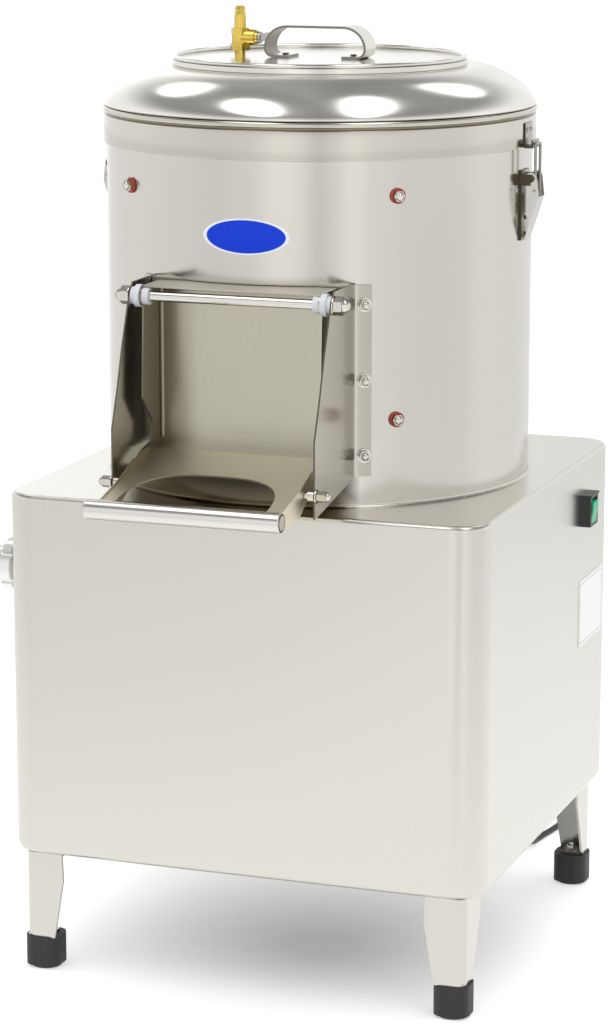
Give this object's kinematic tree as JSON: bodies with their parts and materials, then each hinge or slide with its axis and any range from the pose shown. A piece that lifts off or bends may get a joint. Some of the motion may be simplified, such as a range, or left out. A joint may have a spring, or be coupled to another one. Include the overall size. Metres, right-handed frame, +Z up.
{
  "type": "electric potato peeler",
  "caption": "Floor-standing peeler: square steel cabinet on angled legs, round drum with domed lift-off lid, front discharge chute with a hinged door, side latches, water valve and drain.",
  "frame": {"origin": "on the floor under the middle of the machine without its cord", "axes": "+Z up; the chute faces -Y; the switch is on +X and the drain on -X"},
  "size_m": [0.612, 0.8557, 0.9673],
  "materials": {
    "cabinet_steel": "satin brushed stainless sheet",
    "drum_steel": "satin brushed stainless sheet, rolled",
    "chute_steel": "folded stainless sheet",
    "lid_steel": "bright spun stainless",
    "leg_steel": "satin stainless sheet",
    "polished_steel": "polished rod and tube",
    "bolt_steel": "stainless fasteners",
    "latch_steel": "bright pressed stainless",
    "black_rubber": "matt moulded rubber",
    "red_fibre": "vulcanised fibre washer",
    "white_nylon": "turned nylon",
    "grey_plastic": "moulded cap",
    "brass_yellow": "turned brass",
    "black_plastic": "moulded housing",
    "green_plastic": "moulded rocker",
    "blue_plate": "enamelled oval plate",
    "white_plate": "blank foil plate",
    "abrasive_grit": "bonded grit",
    "motor_paint": "grey enamel",
    "pulley_iron": "machined casting",
    "bush_bronze": "turned bronze",
    "cord_rubber": "flexible sheath"
  },
  "bodies": {
    "frame": {"cabinet_shell": "cabinet_steel", "rear_panel": "cabinet_steel", "rear_panel_screws": "bolt_steel", "leg_front_left": "leg_steel", "leg_front_right": "leg_steel", "leg_rear_left": "leg_steel", "leg_rear_right": "leg_steel", "rubber_feet": "black_rubber", "leg_bolts": "bolt_steel", "drum_wall": "drum_steel", "sump_pan": "drum_steel", "drain_pipe": "drum_steel", "drain_union_nut": "polished_steel", "drain_hose_tail": "polished_steel", "liner_panels": "abrasive_grit", "liner_bolts": "bolt_steel", "liner_washers": "red_fibre", "chute_cheek_left": "chute_steel", "chute_cheek_right": "chute_steel", "chute_bolts": "bolt_steel", "mouth_frame": "chute_steel", "door_seal": "black_rubber", "hinge_rod": "polished_steel", "rod_spacers": "white_nylon", "latch_bases": "latch_steel", "switch_housing": "black_plastic", "badge": "blue_plate", "rating_plate": "white_plate", "motor": "motor_paint", "motor_plate": "drum_steel", "drive_belt": "black_rubber", "bearing_housing": "pulley_iron", "bearing_bushes": "bush_bronze", "cable_gland": "black_plastic", "power_cord": "cord_rubber", "cord_coil": "cord_rubber", "plug": "cord_rubber"},
    "door": {"door_bushes": "white_nylon", "door_pan": "chute_steel", "door_tray": "chute_steel", "handle_bar": "polished_steel", "bar_end_caps": "grey_plastic"},
    "lid": {"lid_dome": "lid_steel", "lid_band": "lid_steel", "lid_top_pan": "lid_steel", "lid_gasket": "black_rubber", "lid_handle": "polished_steel", "inlet_nozzle": "brass_yellow", "valve_body": "brass_yellow", "lid_hooks": "latch_steel"},
    "spindle": {"driven_pulley": "pulley_iron", "spindle": "bolt_steel", "abrasive_disc": "abrasive_grit"},
    "valve": {"valve_lever": "polished_steel"},
    "latch_left": {"latch_lever_left": "latch_steel"},
    "latch_right": {"latch_lever_right": "latch_steel"},
    "bail_left": {"latch_bail_left": "polished_steel"},
    "bail_right": {"latch_bail_right": "polished_steel"},
    "rocker": {"switch_rocker": "green_plastic"},
    "rotor": {"motor_pulley": "pulley_iron"}
  },
  "joints": [
    {"name": "door_hinge", "type": "hinge", "parent": "frame", "child": "door", "pos_m": [0.044, -0.18063, 0.7044], "axis": [-1, 0, 0], "range_deg": [0, 65]},
    {"name": "lid_lift", "type": "slide", "parent": "frame", "child": "lid", "axis": [0, 0, 1], "range_m": [0, 0.25]},
    {"name": "valve_turn", "type": "hinge", "parent": "lid", "child": "valve", "pos_m": [-0.042, 0.07187, 0.9358], "axis": [1, 0, 0], "range_deg": [0, 90]},
    {"name": "latch_right_swing", "type": "hinge", "parent": "frame", "child": "latch_right", "pos_m": [0.2703, 0.07187, 0.804], "axis": [0, -1, 0], "range_deg": [0, 100]},
    {"name": "bail_right_swing", "type": "hinge", "parent": "latch_right", "child": "bail_right", "pos_m": [0.2741, 0.07187, 0.792], "axis": [0, -1, 0], "range_deg": [-125, 0]},
    {"name": "latch_left_swing", "type": "hinge", "parent": "frame", "child": "latch_left", "pos_m": [-0.1823, 0.07187, 0.804], "axis": [0, 1, 0], "range_deg": [0, 100]},
    {"name": "bail_left_swing", "type": "hinge", "parent": "latch_left", "child": "bail_left", "pos_m": [-0.1861, 0.07187, 0.792], "axis": [0, 1, 0], "range_deg": [-125, 0]},
    {"name": "switch_rock", "type": "hinge", "parent": "frame", "child": "rocker", "pos_m": [0.295, 0.20488, 0.441], "axis": [0, -1, 0], "range_deg": [0, 24]},
    {"name": "spindle_turn", "type": "hinge", "parent": "frame", "child": "spindle", "pos_m": [0.044, 0.07187, 0.43], "axis": [0, 0, 1], "continuous": true},
    {"name": "motor_turn", "type": "hinge", "parent": "frame", "child": "rotor", "pos_m": [0.149, 0.19887, 0.34], "axis": [0, 0, 1], "continuous": true}
  ],
  "couplings": [
    {"joint": "bail_right_swing", "follows": "latch_right_swing", "ratio": -1.25},
    {"joint": "bail_left_swing", "follows": "latch_left_swing", "ratio": -1.25},
    {"joint": "motor_turn", "follows": "spindle_turn", "ratio": 3.731}
  ]
}
